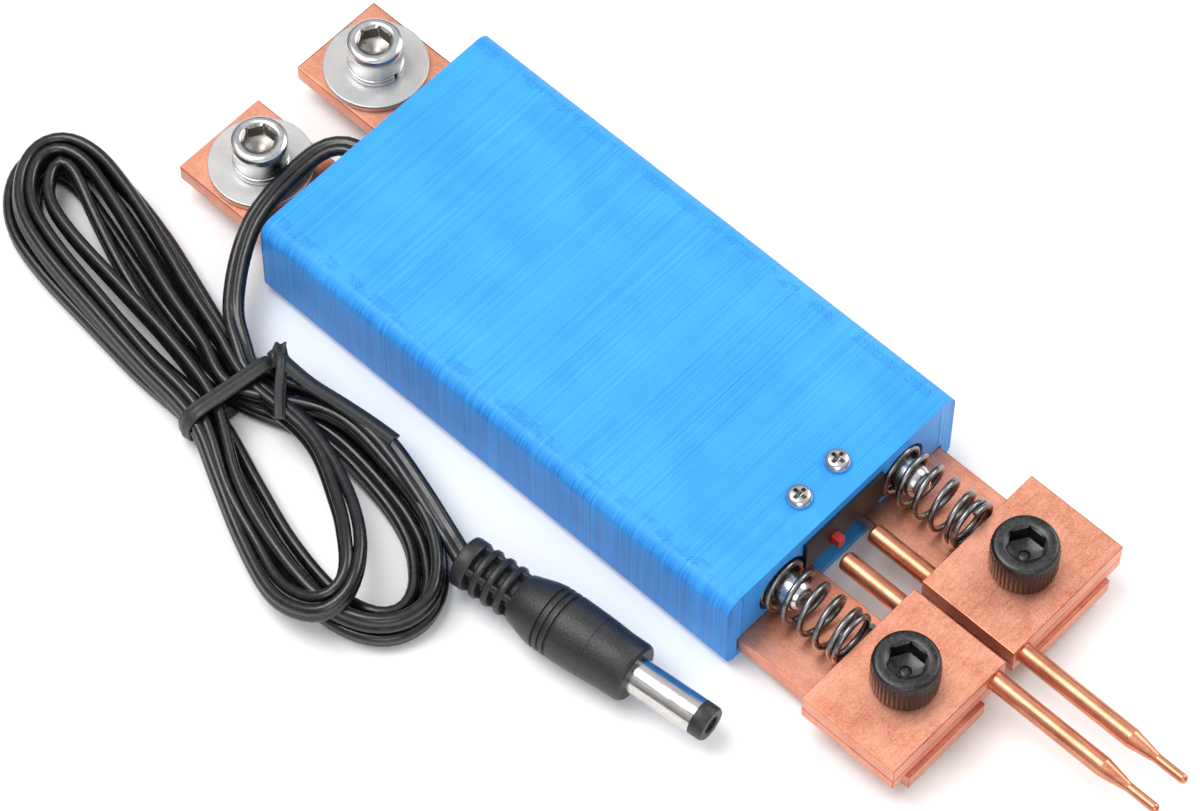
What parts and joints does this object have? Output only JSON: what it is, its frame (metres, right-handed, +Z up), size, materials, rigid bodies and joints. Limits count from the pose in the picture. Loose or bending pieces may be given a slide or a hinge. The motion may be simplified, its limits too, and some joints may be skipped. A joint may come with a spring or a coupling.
{
  "type": "battery spot welder",
  "caption": "Hand-held battery spot-welding pen: blue case, two sprung copper electrodes in clamps, two rear ring-lug terminals and a hanked trigger-supply cord.",
  "frame": {"origin": "middle of the bottom of the pen's bounding box, on the surface it lies on (without the cord)", "axes": "+X to the electrode tips, +Y to the side away from the coiled cord, +Z up through the case top"},
  "size_m": [0.1948, 0.0844, 0.0178],
  "materials": {
    "case_plastic": "satin",
    "steel": "polished",
    "circuit_board": "satin",
    "copper": "brushed",
    "black_plastic": "satin",
    "capacitor_sleeve": "gloss",
    "red_plastic": "satin",
    "red_wire": "satin",
    "dark_spring_steel": "polished",
    "black_oxide_steel": "satin",
    "black_rubber": "satin",
    "nickel": "polished",
    "brass": "polished"
  },
  "bodies": {
    "pen_body": {"case": "case_plastic", "rear_cover": "case_plastic", "rear_cover_screws": "steel", "board_screws": "steel", "near_terminal_screw": "steel", "far_terminal_screw": "steel", "near_lock_washer": "steel", "far_lock_washer": "steel", "near_washer": "steel", "far_washer": "steel", "switch_screws": "steel", "switch_nuts": "steel", "near_spring_guide": "steel", "far_spring_guide": "steel", "switch_terminals": "steel", "control_board": "circuit_board", "near_terminal_bar": "copper", "far_terminal_bar": "copper", "front_bus": "copper", "near_braid": "copper", "far_braid": "copper", "transistors": "black_plastic", "control_chip": "black_plastic", "regulator": "black_plastic", "switch_body": "black_plastic", "capacitor": "capacitor_sleeve", "switch_wires": "red_wire", "near_spring": "dark_spring_steel", "far_spring": "dark_spring_steel", "inlet_wires": "black_rubber", "cord_grommet": "black_rubber", "cord_lead": "black_rubber", "cord_hank": "black_rubber", "cord_tail": "black_rubber", "plug_body": "black_rubber", "cord_tie": "black_plastic", "plug_insulator": "black_plastic", "plug_barrel": "nickel", "plug_contact": "brass"},
    "near_slide": {"near_slide_bar": "copper", "near_clamp_lower": "copper", "near_clamp_upper": "copper", "near_clamp_screw": "black_oxide_steel", "near_electrode": "copper", "near_stop_pin": "steel"},
    "far_slide": {"far_slide_bar": "copper", "far_clamp_lower": "copper", "far_clamp_upper": "copper", "far_clamp_screw": "black_oxide_steel", "far_electrode": "copper", "far_stop_pin": "steel"},
    "trigger_plunger": {"switch_plunger": "red_plastic"}
  },
  "joints": [
    {"name": "near_electrode_slide", "type": "slide", "parent": "pen_body", "child": "near_slide", "axis": [-1, 0, 0], "range_m": [0, 0.0025], "stiffness_N_per_m": 1500, "deforming": ["near_spring", "near_braid"]},
    {"name": "far_electrode_slide", "type": "slide", "parent": "pen_body", "child": "far_slide", "axis": [-1, 0, 0], "range_m": [0, 0.0025], "stiffness_N_per_m": 1500, "deforming": ["far_spring", "far_braid"]},
    {"name": "trigger_plunger_slide", "type": "slide", "parent": "pen_body", "child": "trigger_plunger", "axis": [-1, 0, 0], "range_m": [0, 0.0013]}
  ],
  "couplings": [
    {"joint": "trigger_plunger_slide", "follows": "near_electrode_slide", "ratio": 0.52}
  ]
}
